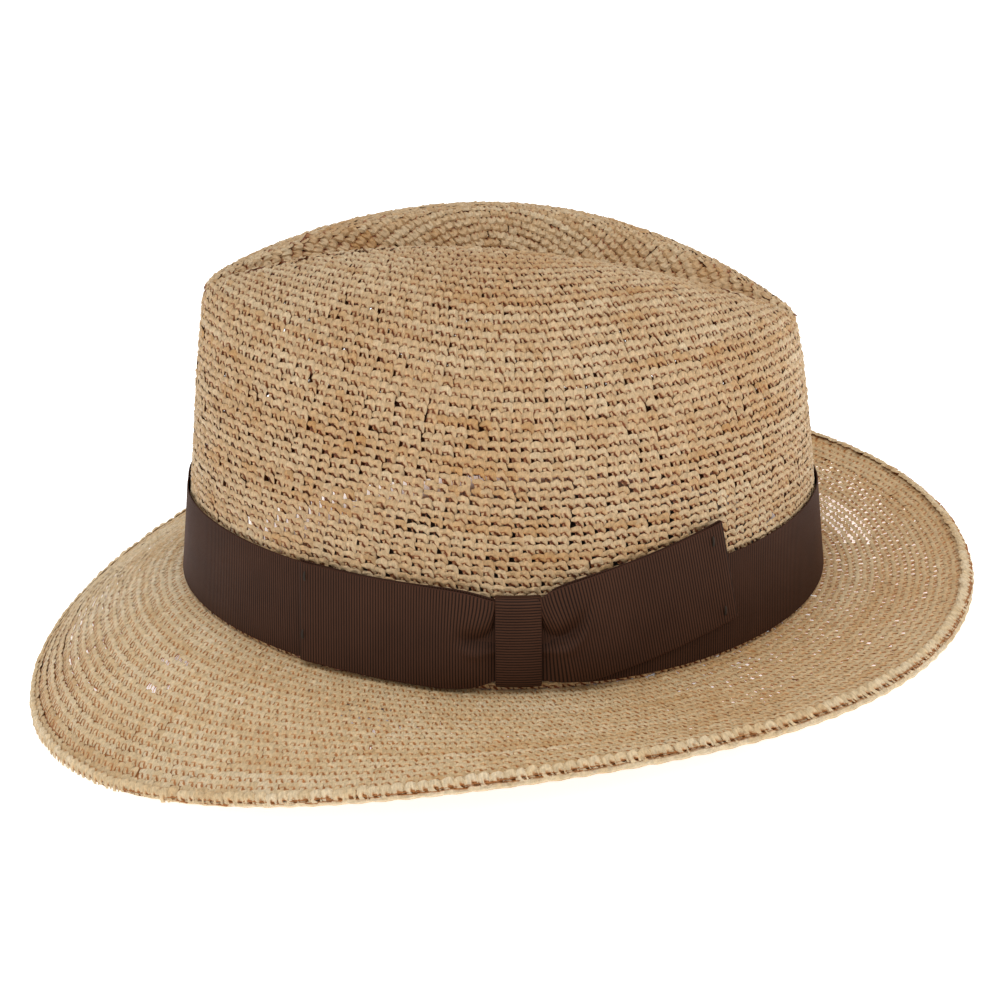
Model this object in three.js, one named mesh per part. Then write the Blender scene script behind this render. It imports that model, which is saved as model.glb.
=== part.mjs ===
// A crocheted straw fedora: crown and brim worked in one piece, with a ribbon band and a flat bow.
// Millimetres, +Z up. The front of the hat faces -Y, and the bow is on +X, the wearer's left.
// The hat stands by itself on z = 0, on the front edge of its brim and on the rear of the brim.

import * as THREE from 'three';
import { mergeVertices } from 'three/addons/utils/BufferGeometryUtils.js';

// The head opening is an oval, a little narrower in front, whose line dips at the two sides.
const HEAD = { halfLength: 103, halfWidth: 83.1, narrowing: 0.03, dip: 2.5 };

// Two ridges run beside the centre dent and meet in front and behind. Fades says how soon the
// dent loses its depth towards its ends.
const RIDGE = { halfLength: 92.3, centre: -0.6, top: 115.4, topAt: -14.6, fall: 0.00266 };
const DENT = { depth: 23, fades: 1.2 };

// Sizes at five places round one half of the hat, the same on the other half. The rows are the
// front, the front quarter, the side, the rear quarter and the rear.
// brimWidth is level, brimEdge is the edge's height over the head opening, and brimCurl is how
// late the brim bends. ridgeOut is half the ridges' distance, before it closes in to the ends.
// wallLean is how far the crown's wall leans in, and wallRound is how square its shoulder is.
const PLACES = [
  { brimWidth: 52.2, brimEdge: -36.7, brimCurl: 1.53, ridgeOut: 8.6, wallLean: 9.2, wallRound: 2.65 },
  { brimWidth: 58.1, brimEdge: -23.1, brimCurl: 1.63, ridgeOut: 11.3, wallLean: 8.0, wallRound: 2.38 },
  { brimWidth: 57.1, brimEdge: 0.6, brimCurl: 1.87, ridgeOut: 21.9, wallLean: 6.8, wallRound: 2.11 },
  { brimWidth: 53.7, brimEdge: 6.8, brimCurl: 2.1, ridgeOut: 19.1, wallLean: 9.0, wallRound: 2.38 },
  { brimWidth: 46.0, brimEdge: 8.0, brimCurl: 2.2, ridgeOut: 8.4, wallLean: 11.2, wallRound: 2.66 },
];

// Straw wall, and the hem where the brim's edge is turned under and lies double.
const WALL = 2;
const HEM = { width: 11, thickness: 3.6, step: 1 };
const BREAK_BEVEL = 2;

// The hat leans back on its front edge: pitch in degrees, then the head opening's height and place.
const STAND = { pitch: 7.77, lift: 16.43, shift: 4.23 };

// Ribbon: heights are over the head opening's line, gaps are straight out from the crown.
const GAP = 0.3;
const RIBBON = { width: 30, thickness: 1, low: 1.7 };
const BOW_ANGLE = 89.5;
const KEEPER = { width: 13.4, lipReach: 2.4 };
const LOOP = { length: 67.2, thickness: 2, foldThickness: 2.8, foldLength: 7, meeting: 0.3 };
const REAR_LOOP = { rise: 9.2 };

// Facets round the hat, and steps along each stretch of it.
const ROUND = 72;
const STEPS = { dent: 8, wall: 10, brim: 7, hem: 3, edge: 4, band: 3, loopLong: 14, loopHigh: 4, keeper: 4 };

const STRAW = { color: 0xc9a77c, roughness: 0.75, metalness: 0 };
const GROSGRAIN = { color: 0x4a3228, roughness: 0.6, metalness: 0 };

const radians = THREE.MathUtils.degToRad;
const clamp01 = (value) => THREE.MathUtils.clamp(value, 0, 1);
const fractions = (steps) => Array.from({ length: steps + 1 }, (_, i) => i / steps);
const sum = (values) => values.reduce((total, value) => total + value, 0);

// A smooth value round the hat through a column of PLACES, as a series of cosines.
function around(column) {
  const values = PLACES.map((row) => row[column]);
  const last = values.length - 1;
  const share = (i) => (i === 0 || i === last ? 0.5 : 1);
  const term = (k) => sum(values.map((value, i) => share(i) * value * Math.cos(Math.PI * i * k / last)));
  const series = values.map((_, k) => share(k) * term(k) * 2 / last);
  return (turn) => sum(series.map((size, k) => size * Math.cos(k * turn)));
}

const brimWidth = around('brimWidth');
const brimEdge = around('brimEdge');
const brimCurl = around('brimCurl');
const ridgeOut = around('ridgeOut');
const wallLean = around('wallLean');
const wallRound = around('wallRound');

// A turn is an angle in radians round the hat, 0 at the front and a quarter turn at the bow.
function headLine(turn) {
  return new THREE.Vector3(
    HEAD.halfWidth * Math.sin(turn) * (1 - HEAD.narrowing * Math.cos(turn)),
    -HEAD.halfLength * Math.cos(turn),
    HEAD.dip * Math.cos(2 * turn),
  );
}

// The level direction straight out from the head opening.
function outward(turn) {
  const step = 1e-3;
  const along = headLine(turn + step).sub(headLine(turn - step));
  return new THREE.Vector3(along.y, -along.x, 0).normalize();
}

function ridge(turn) {
  const y = RIDGE.centre - RIDGE.halfLength * Math.cos(turn);
  const z = RIDGE.top - RIDGE.fall * (y - RIDGE.topAt) ** 2;
  return new THREE.Vector3(ridgeOut(turn) * Math.sin(turn), y, z);
}

// The crown's wall: rise is 0 at the head opening and 1 at the ridge.
function wallAtRise(turn, rise) {
  const foot = headLine(turn);
  const reach = ridge(turn).sub(foot);
  const lean = wallLean(turn) / Math.hypot(reach.x, reach.y);
  const power = wallRound(turn);
  const bend = 1 - (1 - clamp01(rise) ** power) ** (1 / power);
  const inwards = lean * rise + (1 - lean) * bend;
  return foot.add(new THREE.Vector3(reach.x * inwards, reach.y * inwards, reach.z * rise));
}

// A place on the ribbon's part of the wall: height over the opening's line, and distance out.
function onWall(turn, height, out) {
  const rise = height / (ridge(turn).z - headLine(turn).z);
  return wallAtRise(turn, rise).addScaledVector(outward(turn), out);
}

// The top: inwards is 0 at the ridge and 1 at the dent's middle.
function dent(turn, inwards) {
  const rim = ridge(turn);
  const x = rim.x * (1 - inwards);
  const y = THREE.MathUtils.lerp(rim.y, RIDGE.centre, inwards);
  const along = THREE.MathUtils.clamp((y - RIDGE.centre) / RIDGE.halfLength, -1, 1);
  const beside = ridge(Math.acos(-along));
  const depth = DENT.depth * (1 - along ** 2) ** DENT.fades;
  const across = beside.x > 0 ? Math.min(Math.abs(x) / beside.x, 1) : 1;
  return new THREE.Vector3(x, y, beside.z - depth * (1 + Math.cos(Math.PI * across)) / 2);
}

// The brim: out is 0 at the head opening and 1 at the edge.
function brim(turn, out) {
  const foot = headLine(turn);
  const rise = (brimEdge(turn) - foot.z) * out ** brimCurl(turn);
  const place = foot.addScaledVector(outward(turn), brimWidth(turn) * out);
  return place.setZ(place.z + rise);
}

// From the hat's own level frame to how it stands on the floor. The straw is pressed flat where
// it would dip a little under the floor.
function stand(point) {
  const placed = point.clone().applyAxisAngle(new THREE.Vector3(1, 0, 0), radians(-STAND.pitch));
  placed.y += STAND.shift;
  placed.z = Math.max(placed.z + STAND.lift, 0);
  return placed;
}

const turns = Array.from({ length: ROUND }, (_, i) => 2 * Math.PI * i / ROUND);
const ring = (place) => turns.map(place);

// Unit normals of a grid of points that closes round, pointing up and out of the hat.
function normals(rows) {
  return rows.map((row, j) => row.map((_, i) => {
    const before = rows[Math.max(j - 1, 0)][i];
    const after = rows[Math.min(j + 1, rows.length - 1)][i];
    const left = row[(i + ROUND - 1) % ROUND];
    const right = row[(i + 1) % ROUND];
    const across = left.distanceTo(right) > 0 ? right.clone().sub(left) : null;
    if (!across) return new THREE.Vector3(0, 0, 1);
    return after.clone().sub(before).cross(across).normalize();
  }));
}

// One closed solid between an outer and an inner grid of points with the same rows.
// A grid that closes round has no side walls, and one that starts in a point has no first wall.
function solidBetween(outer, inner, { closesRound = false, startsInPoint = false } = {}) {
  const corners = [];
  const triangle = (a, b, c) => {
    const area = b.clone().sub(a).cross(c.clone().sub(a)).length();
    if (area > 1e-9) corners.push(a, b, c);
  };
  const quad = (a, b, c, d) => {
    triangle(a, b, c);
    triangle(a, c, d);
  };
  const columns = outer[0].length;
  const lastRow = outer.length - 1;
  const strips = closesRound ? columns : columns - 1;
  for (let i = 0; i < strips; i += 1) {
    const k = (i + 1) % columns;
    for (let j = 0; j < lastRow; j += 1) {
      quad(outer[j][i], outer[j + 1][i], outer[j + 1][k], outer[j][k]);
      quad(inner[j][k], inner[j + 1][k], inner[j + 1][i], inner[j][i]);
    }
    if (!startsInPoint) quad(inner[0][i], outer[0][i], outer[0][k], inner[0][k]);
    quad(outer[lastRow][i], inner[lastRow][i], inner[lastRow][k], outer[lastRow][k]);
  }
  if (!closesRound) {
    const end = columns - 1;
    for (let j = 0; j < lastRow; j += 1) {
      quad(inner[j][0], inner[j + 1][0], outer[j + 1][0], outer[j][0]);
      quad(outer[j][end], outer[j + 1][end], inner[j + 1][end], inner[j][end]);
    }
  }
  return corners;
}

// A named mesh from triangle corners, turned so that its faces point out.
function piece(name, corners, look) {
  let volume = 0;
  for (let i = 0; i < corners.length; i += 3) {
    volume += corners[i].dot(corners[i + 1].clone().cross(corners[i + 2])) / 6;
  }
  const ordered = volume > 0 ? corners : corners.slice().reverse();
  const soup = new THREE.BufferGeometry().setFromPoints(ordered);
  const geometry = mergeVertices(soup, 1e-5);
  geometry.computeVertexNormals();
  const mesh = new THREE.Mesh(geometry, new THREE.MeshStandardMaterial(look));
  mesh.name = name;
  return mesh;
}

// Crown and brim in one: the outside runs from the dent over the ridge, down the wall and out
// along the brim to its rounded edge, and the inside lies a wall's thickness under it.
function strawHat() {
  const halfEdge = HEM.thickness / 2;
  const stations = [];
  for (const left of fractions(STEPS.dent)) {
    stations.push({ place: (turn) => dent(turn, 1 - left), thickness: WALL });
  }
  for (const down of fractions(STEPS.wall).slice(1, -1)) {
    const place = (turn) => wallAtRise(turn, Math.cos(down * Math.PI / 2) ** (2 / wallRound(turn)));
    stations.push({ place, thickness: WALL });
  }
  stations.push({ place: (turn) => onWall(turn, BREAK_BEVEL, 0), thickness: WALL });
  const brimAt = (distance) => (turn) => brim(turn, distance(turn) / brimWidth(turn));
  const hemAt = (turn) => brimWidth(turn) - HEM.width;
  for (const share of fractions(STEPS.brim)) {
    const distance = (turn) => BREAK_BEVEL + (hemAt(turn) - HEM.step - BREAK_BEVEL) * share;
    stations.push({ place: brimAt(distance), thickness: WALL });
  }
  for (const share of fractions(STEPS.hem)) {
    const distance = (turn) => hemAt(turn) + (HEM.width - halfEdge) * share;
    stations.push({ place: brimAt(distance), thickness: HEM.thickness });
  }

  const outer = stations.map(({ place }) => ring(place));
  const up = normals(outer);
  const inner = outer.map((row, j) => row.map(
    (point, i) => point.clone().addScaledVector(up[j][i], -stations[j].thickness),
  ));

  const last = outer.length - 1;
  const edgeRows = fractions(STEPS.edge).slice(1, -1).map((share) => outer[last].map((point, i) => {
    const middle = point.clone().add(inner[last][i]).multiplyScalar(0.5);
    const out = point.clone().sub(outer[last - 1][i]).normalize();
    const angle = Math.PI * (0.5 - share);
    return middle.addScaledVector(out, halfEdge * Math.cos(angle))
      .addScaledVector(up[last][i], halfEdge * Math.sin(angle));
  }));
  const outside = [...outer, ...edgeRows];
  const inside = [...inner, ...edgeRows.map(() => inner[last])];
  const stood = (rows) => rows.map((row) => row.map(stand));
  const corners = solidBetween(stood(outside), stood(inside), { closesRound: true, startsInPoint: true });
  return piece('straw_hat', corners, STRAW);
}

// The ribbon stitched round the foot of the crown.
function hatBand() {
  const layer = (out) => fractions(STEPS.band).map((share) => ring((turn) => (
    stand(onWall(turn, RIBBON.low + RIBBON.width * share, out))
  )));
  const corners = solidBetween(layer(GAP + RIBBON.thickness), layer(GAP), { closesRound: true });
  return piece('hat_band', corners, GROSGRAIN);
}

// The turn that lies a distance along the head opening from the bow, to the rear if positive.
function turnAlong(distance) {
  const steps = 40;
  let turn = radians(BOW_ANGLE);
  for (let i = 0; i < steps; i += 1) {
    const slope = headLine(turn + 1e-3).sub(headLine(turn - 1e-3)).length() / 2e-3;
    turn += distance / steps / slope;
  }
  return turn;
}

const bandTop = GAP + RIBBON.thickness;
const loopFoot = bandTop + GAP;
const loopTop = loopFoot + LOOP.thickness;

// One flat loop of doubled ribbon from under the keeper to its fold, on the band or rising off it.
// Side is -1 towards the front and 1 towards the rear.
function bowLoop(name, side, rise) {
  const slope = radians(rise);
  const start = LOOP.meeting / 2;
  const lengths = fractions(STEPS.loopLong).map((share) => start + (LOOP.length - start) * share);
  const heights = fractions(STEPS.loopHigh).map((share) => (share - 0.5) * RIBBON.width);
  const foldStart = LOOP.length - LOOP.foldLength;
  const layer = (out) => lengths.map((length) => heights.map((height) => {
    const risen = Math.max(length - KEEPER.width / 2, 0);
    const distance = side * (length - height * Math.sin(slope) * clamp01(risen / LOOP.foldLength));
    const middle = RIBBON.low + RIBBON.width / 2 + risen * Math.tan(slope);
    return stand(onWall(turnAlong(distance), middle + height, out(length)));
  }));
  const puff = (length) => clamp01((length - foldStart) / LOOP.foldLength);
  const outer = layer((length) => loopTop + (LOOP.foldThickness - LOOP.thickness) * puff(length));
  const inner = layer(() => loopFoot);
  return piece(name, solidBetween(outer, inner), GROSGRAIN);
}

// The short ribbon over the middle of the bow, which turns in over the band's two edges.
function bowKeeper() {
  const low = RIBBON.low - GAP;
  const high = RIBBON.low + RIBBON.width + GAP;
  const path = (fold, out) => [
    { height: low - fold, out: KEEPER.lipReach },
    ...fractions(STEPS.loopHigh).map((share) => (
      { height: low - fold + (high - low + 2 * fold) * share, out }
    )),
    { height: high + fold, out: GAP },
  ];
  const columns = fractions(STEPS.keeper).map((share) => turnAlong((share - 0.5) * KEEPER.width));
  const layer = (places) => places.map(({ height, out }) => (
    columns.map((turn) => stand(onWall(turn, height, out)))
  ));
  const face = loopTop + GAP;
  const outside = layer(path(RIBBON.thickness, face + RIBBON.thickness));
  return piece('bow_keeper', solidBetween(outside, layer(path(0, face))), GROSGRAIN);
}

const hat = new THREE.Group();
hat.add(strawHat());
hat.add(hatBand());
hat.add(bowLoop('bow_front_loop', -1, 0));
hat.add(bowLoop('bow_rear_loop', 1, REAR_LOOP.rise));
hat.add(bowKeeper());

export default hat;
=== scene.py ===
# A crocheted straw fedora, put together as a hatter does it: the straw crown and brim, its edge, the
# ribbon band, the two loops of the flat bow and the keeper round their middle. Blender units are metres.

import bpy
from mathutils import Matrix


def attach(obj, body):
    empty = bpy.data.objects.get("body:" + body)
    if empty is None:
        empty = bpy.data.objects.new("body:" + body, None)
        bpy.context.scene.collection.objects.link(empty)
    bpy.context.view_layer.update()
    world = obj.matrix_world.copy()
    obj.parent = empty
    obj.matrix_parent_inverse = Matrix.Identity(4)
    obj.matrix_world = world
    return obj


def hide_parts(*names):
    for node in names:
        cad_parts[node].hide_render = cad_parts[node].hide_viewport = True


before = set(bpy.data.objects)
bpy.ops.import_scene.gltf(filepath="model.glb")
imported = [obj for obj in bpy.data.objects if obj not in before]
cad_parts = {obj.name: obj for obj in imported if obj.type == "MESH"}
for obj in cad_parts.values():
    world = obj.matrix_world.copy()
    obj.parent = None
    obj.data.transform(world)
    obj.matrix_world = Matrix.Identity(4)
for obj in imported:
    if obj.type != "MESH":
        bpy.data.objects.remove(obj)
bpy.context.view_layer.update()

import math
import bpy
import numpy as np
from mathutils import Matrix, Vector
from mathutils.geometry import delaunay_2d_cdt

mm = 0.001

# The crown and the brim are one piece, worked in rounds of single crochet from raffia, from the
# middle of the dent outwards, then steamed over a block that gives it its dent and its brim.
# Front is -Y. A turn is an angle round the hat, 0 in front and a quarter turn at the bow.
HEAD_LENGTH, HEAD_WIDTH, HEAD_NARROWING, HEAD_DIP = 103 * mm, 83.1 * mm, 0.03, 2.5 * mm
RIDGE_LENGTH, RIDGE_CENTRE = 92.3 * mm, -0.6 * mm
RIDGE_TOP, RIDGE_TOP_AT, RIDGE_FALL = 115.4 * mm, -14.6 * mm, 2.66
DENT_DEPTH, DENT_FADES = 23 * mm, 1.2
STAND_PITCH, STAND_LIFT, STAND_SHIFT = math.radians(7.77), 16.43 * mm, 4.23 * mm
FULL_TURN, SMALL_TURN = 2 * math.pi, 1e-3


# A smooth value round the hat, from values in front, at the front quarter, side, rear quarter and rear.
def around(*values):
    last = len(values) - 1
    share = [0.5 if i in (0, last) else 1 for i in range(last + 1)]
    series = []
    for k in range(last + 1):
        waves = [share[i] * values[i] * math.cos(math.pi * i * k / last) for i in range(last + 1)]
        series.append(share[k] * 2 / last * sum(waves))
    return lambda turn: sum(size * np.cos(k * turn) for k, size in enumerate(series))


brim_width = around(52.2 * mm, 58.1 * mm, 57.1 * mm, 53.7 * mm, 46.0 * mm)
brim_edge = around(-36.7 * mm, -23.1 * mm, 0.6 * mm, 6.8 * mm, 8.0 * mm)
brim_curl = around(1.53, 1.63, 1.87, 2.1, 2.2)
ridge_out = around(8.6 * mm, 11.3 * mm, 21.9 * mm, 19.1 * mm, 8.4 * mm)
wall_lean = around(9.2 * mm, 8.0 * mm, 6.8 * mm, 9.0 * mm, 11.2 * mm)
wall_round = around(2.65, 2.38, 2.11, 2.38, 2.66)


def unit(vectors):
    return vectors / np.maximum(np.linalg.norm(vectors, axis=-1, keepdims=True), 1e-12)


def head_line(turn):
    x = HEAD_WIDTH * np.sin(turn) * (1 - HEAD_NARROWING * np.cos(turn))
    return np.stack([x, -HEAD_LENGTH * np.cos(turn), HEAD_DIP * np.cos(2 * turn)], -1)


def level_out(turn):
    along = head_line(turn + SMALL_TURN) - head_line(turn - SMALL_TURN)
    return unit(np.stack([along[..., 1], -along[..., 0], 0 * turn], -1))


def ridge(turn):
    y = RIDGE_CENTRE - RIDGE_LENGTH * np.cos(turn)
    return np.stack([ridge_out(turn) * np.sin(turn), y, RIDGE_TOP - RIDGE_FALL * (y - RIDGE_TOP_AT) ** 2], -1)


# The crown's wall: rise is 0 at the head line and 1 at the ridge.
def wall(turn, rise):
    turn, rise = np.broadcast_arrays(turn, rise)
    foot = head_line(turn)
    reach = ridge(turn) - foot
    lean = wall_lean(turn) / np.hypot(reach[..., 0], reach[..., 1])
    power = wall_round(turn)
    bend = 1 - (1 - np.clip(rise, 0, 1) ** power) ** (1 / power)
    inwards = lean * rise + (1 - lean) * bend
    return foot + reach * np.stack([inwards, inwards, rise], -1)


# The top: inwards is 0 at the ridge and 1 at the dent's middle.
def dent(turn, inwards):
    turn, inwards = np.broadcast_arrays(turn, inwards)
    rim = ridge(turn)
    x = rim[..., 0] * (1 - inwards)
    y = rim[..., 1] * (1 - inwards) + RIDGE_CENTRE * inwards
    along = np.clip((y - RIDGE_CENTRE) / RIDGE_LENGTH, -1, 1)
    beside = ridge(np.arccos(-along))
    across = np.minimum(np.abs(x) / np.maximum(beside[..., 0], 1e-9), 1)
    depth = DENT_DEPTH * (1 - along**2) ** DENT_FADES
    return np.stack([x, y, beside[..., 2] - depth * (1 + np.cos(math.pi * across)) / 2], -1)


# The brim: out is 0 at the head line and 1 at the edge.
def brim(turn, out):
    turn, out = np.broadcast_arrays(turn, out)
    place = head_line(turn) + level_out(turn) * (brim_width(turn) * out)[..., None]
    place[..., 2] += (brim_edge(turn) - head_line(turn)[..., 2]) * np.maximum(out, 0) ** brim_curl(turn)
    return place


# From the hat's own level frame to how it stands, leaning back on the front edge of its brim.
def stand_turned(vectors):
    c, s = math.cos(STAND_PITCH), math.sin(STAND_PITCH)
    x, y, z = vectors[..., 0], vectors[..., 1], vectors[..., 2]
    return np.stack([x, c * y + s * z, c * z - s * y], -1)


def stand(points):
    return stand_turned(points) + np.array([0, STAND_SHIFT, STAND_LIFT])


FINE_TURNS = np.linspace(0, FULL_TURN, 720, endpoint=False)
ALL_TURNS = np.append(FINE_TURNS, FULL_TURN)
FINE_STEPS = 300
FINE_SHARES = np.linspace(0, 1, FINE_STEPS)


# A table of the surface: places on a fine grid of turns and of shares of the way along each
# meridian, with the direction straight out of the straw.
class Surface:
    def __init__(self, points, upwards):
        self.points = points
        along = np.roll(points, -1, 0) - np.roll(points, 1, 0)
        self.out = unit(np.cross(along, np.gradient(points, axis=1) * upwards))

    def at(self, turn, share, table=None):
        table = self.points if table is None else table
        count = len(table)
        i = (turn / FULL_TURN * count) % count
        j = np.interp(share, FINE_SHARES, np.arange(FINE_STEPS))
        i0, j0 = np.floor(i).astype(int) % count, np.minimum(np.floor(j).astype(int), FINE_STEPS - 2)
        fi, fj = (i - np.floor(i))[..., None], (j - j0)[..., None]
        i1 = (i0 + 1) % count
        low = table[i0, j0] * (1 - fj) + table[i0, j0 + 1] * fj
        high = table[i1, j0] * (1 - fj) + table[i1, j0 + 1] * fj
        return low * (1 - fi) + high * fi


# How far along a line of points each of them lies.
def way_along(points):
    steps = np.linalg.norm(np.diff(points, axis=0), axis=-1)
    return np.concatenate([[0], np.cumsum(steps)])


# Points of every meridian at even shares of its own length.
def even_meridians(rough):
    rows = []
    for line in rough:
        way = way_along(line)
        rows.append([np.interp(FINE_SHARES * way[-1], way, line[:, k]) for k in range(3)])
    return np.array(rows).transpose(0, 2, 1)


turns = FINE_TURNS[:, None]
rises = np.sin(FINE_SHARES * math.pi / 2) ** (2 / wall_round(turns))
rough_crown = np.concatenate([wall(turns, rises), dent(turns, FINE_SHARES[1:])], 1)
rough_steps = np.linalg.norm(np.diff(rough_crown, axis=1), axis=-1)
ridge_share = rough_steps[:, :FINE_STEPS - 1].sum(1) / rough_steps.sum(1)
crown = Surface(even_meridians(stand(rough_crown)), upwards=1)
brim_top = Surface(stand(brim(turns, FINE_SHARES)), upwards=-1)

# Rounds of the crown, from the head line to the middle of the dent. They crowd towards some
# places, so that they cross the ridges slantwise, as rounds do on a blocked hat. Each starts a
# little later than the one before, by a share of a stitch.
CROWN_ROUNDS, CROWN_DRIFT = 68, 0.1
WALL_STITCHES, LEAST_STITCHES, LEAST_PITCH = 158, 6, 2.75 * mm
crowd = around(0.13, 0.18, 0.08, 0.21, 0.27)
crowd_ends = around(0.19, 0.11, 0.28, 0.28, 0.28)


# The share of the meridian at which a round lies.
def round_share(turn, number):
    share = np.linspace(0, 1, 200)
    crowding = crowd(turn)[:, None] + crowd_ends(turn)[:, None] * (1 - 2 * share)
    rounds = CROWN_ROUNDS * (share + share * (1 - share) * crowding)
    return np.array([np.interp(number, row, share) for row in rounds])


# Every random draw for the rounds and the roll comes from here, one after another.
rng = np.random.default_rng(7)


# What a table of values at the fine turns says at any turn.
def at_turn(turn, values):
    return np.interp(turn, FINE_TURNS, values, period=FULL_TURN)


# How far along its round each fine turn lies, and the round's whole length after the last.
def way_round(surface, shares):
    return way_along(surface.at(ALL_TURNS, np.append(shares, shares[0])))


# The chart of one round: a place for every stitch, at even distances along the round, and its
# distance round the hat from the bow's side.
def chart_round(surface, shares, count, phase):
    shares = np.broadcast_to(shares, FINE_TURNS.shape)
    length = way_round(surface, shares)
    wanted = (np.arange(count) + phase) % count / count * length[-1]
    turn = np.interp(wanted, length, ALL_TURNS)
    share = at_turn(turn, shares)
    after, before = turn + 2 * SMALL_TURN, turn - 2 * SMALL_TURN
    along = surface.at(after, at_turn(after, shares)) - surface.at(before, at_turn(before, shares))
    return {
        "place": surface.at(turn, share), "outward": unit(surface.at(turn, share, surface.out)),
        "along": unit(along), "turn": turn, "width": np.full(count, length[-1] / count),
        "distance": wanted - np.interp(FULL_TURN / 4, ALL_TURNS, length),
    }


# How the straw is worked at each place: a close stitch, a usual one, an open one that leaves a
# hole, a pierced one that light passes through, only the bar on the wrong side, or a tight, plump one.
CLOSE, USUAL, OPEN, PIERCED, HIDDEN, TIGHT = range(6)


# Lengths of raffia, each worked into some stitches in a row, that differ in their tone: 0 is the
# darkest straw and 1 the palest.
MIDDLE_TONE, TONE_SPREAD, STRAND_STITCHES = 0.5, 0.09, (6, 30)


def strand_tones(count):
    tones = []
    while len(tones) < count:
        tones += [rng.normal(MIDDLE_TONE, TONE_SPREAD)] * int(rng.integers(*STRAND_STITCHES))
    return np.clip(np.array(tones[:count]) + rng.normal(0, TONE_SPREAD, count), 0, 1)


# A mesh of its own with a value for each point under each name.
def drawn(name, points, polygons, **values):
    mesh = bpy.data.meshes.new(name)
    mesh.from_pydata([list(map(float, point)) for point in points], [], [list(face) for face in polygons])
    for key, numbers in values.items():
        layer = mesh.attributes.new(key, "FLOAT", "POINT")
        layer.data.foreach_set("value", np.asarray(numbers, np.float32).ravel())
    piece = bpy.data.objects.new(name, mesh)
    bpy.context.collection.objects.link(piece)
    return piece


# A cloud of mesh points that carries the chart of some rounds.
def chart_object(name, rounds):
    joined = {key: np.concatenate([a_round[key] for a_round in rounds]) for key in rounds[0]}
    joined["size"] = np.stack([joined["width"], joined["height"], joined["depth"]], -1)
    piece = drawn(name, joined["place"], [], tone=joined["tone"])
    for key in ("outward", "along", "size"):
        layer = piece.data.attributes.new(key, "FLOAT_VECTOR", "POINT")
        layer.data.foreach_set("vector", joined[key].astype(np.float32).ravel())
    layer = piece.data.attributes.new("kind", "INT", "POINT")
    layer.data.foreach_set("value", joined["kind"].astype(np.int32))
    return piece


# Adds a node to a tree. Inputs are plain values, sockets that are linked to it, or nodes, whose
# first output is linked.
def add(tree, kind, inputs=None, **settings):
    node = tree.nodes.new(kind)
    for name, value in settings.items():
        setattr(node, name, value)
    for name, value in (inputs or {}).items():
        if isinstance(value, bpy.types.Node):
            value = value.outputs[0]
        if isinstance(value, bpy.types.NodeSocket):
            tree.links.new(value, node.inputs[name])
        else:
            node.inputs[name].default_value = value
    return node


# A new tree with its named inputs, each given as (kind of socket, value).
def new_tree(name, **inputs):
    tree = bpy.data.node_groups.new(name, "GeometryNodeTree")
    tree.interface.new_socket("Geometry", in_out="INPUT", socket_type="NodeSocketGeometry")
    for label, (kind, value) in inputs.items():
        socket = tree.interface.new_socket(label.replace("_", " "), in_out="INPUT", socket_type=kind)
        if value is not None:
            socket.default_value = value
    tree.interface.new_socket("Geometry", in_out="OUTPUT", socket_type="NodeSocketGeometry")
    return tree, add(tree, "NodeGroupInput").outputs


# Runs a tree on an object with its inputs' values, and leaves the result as its plain mesh.
def run_tree(piece, tree, **values):
    modifier = piece.modifiers.new(tree.name, "NODES")
    modifier.node_group = tree
    sockets = [item for item in tree.interface.items_tree if item.in_out == "INPUT"]
    identifiers = {socket.name: socket.identifier for socket in sockets}
    for label, value in values.items():
        modifier[identifiers[label.replace("_", " ")]] = value
    evaluated = piece.evaluated_get(bpy.context.evaluated_depsgraph_get())
    worked = bpy.data.meshes.new_from_object(evaluated)
    piece.modifiers.clear()
    chart = piece.data
    piece.data = worked
    bpy.data.meshes.remove(chart)
    worked.name = piece.name
    return piece


# A new material, with its tree, its shader and the shader's values that are the same all over.
def new_material(name, **finish):
    material = bpy.data.materials.new(name)
    material.use_nodes = True
    shader = material.node_tree.nodes["Principled BSDF"]
    for label, value in finish.items():
        shader.inputs[label.replace("_", " ")].default_value = value
    return material, material.node_tree, shader


# A colour from its sRGB hex value, as linear values with alpha.
def colour(hex_value):
    channels = [(hex_value >> shift & 255) / 255 for shift in (16, 8, 0)]
    return [c / 12.92 if c <= 0.04045 else ((c + 0.055) / 1.055) ** 2.4 for c in channels] + [1]


# One stitch, drawn in a cell of 1 by 1 by 1 that is stretched to its place. Two flat legs of raffia
# meet in a broad cap. The feet go in under the caps of the next round, over a bar on the wrong side.
# Wedge is the gap on the left of the left leg, and notch the gap between the legs. Low is how far
# down the cap reaches, tip how high its upper edge lies, puff how far it swells, and line how much
# shade is painted on the feet, a brown, where they come out from under the caps. The bar is given by
# its two ends, its upper edge and its height, and a stitch with no wedge is the bar alone. A point is
# given along and up the stitch, out of the straw and by its painted shade, from 0 on the cap to 1 in
# the gaps and on the bar, where brown and near black stand in for the shade that falls there.
STITCH_LEAN, STITCH_CLIMB = 0.2, 0.1


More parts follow.
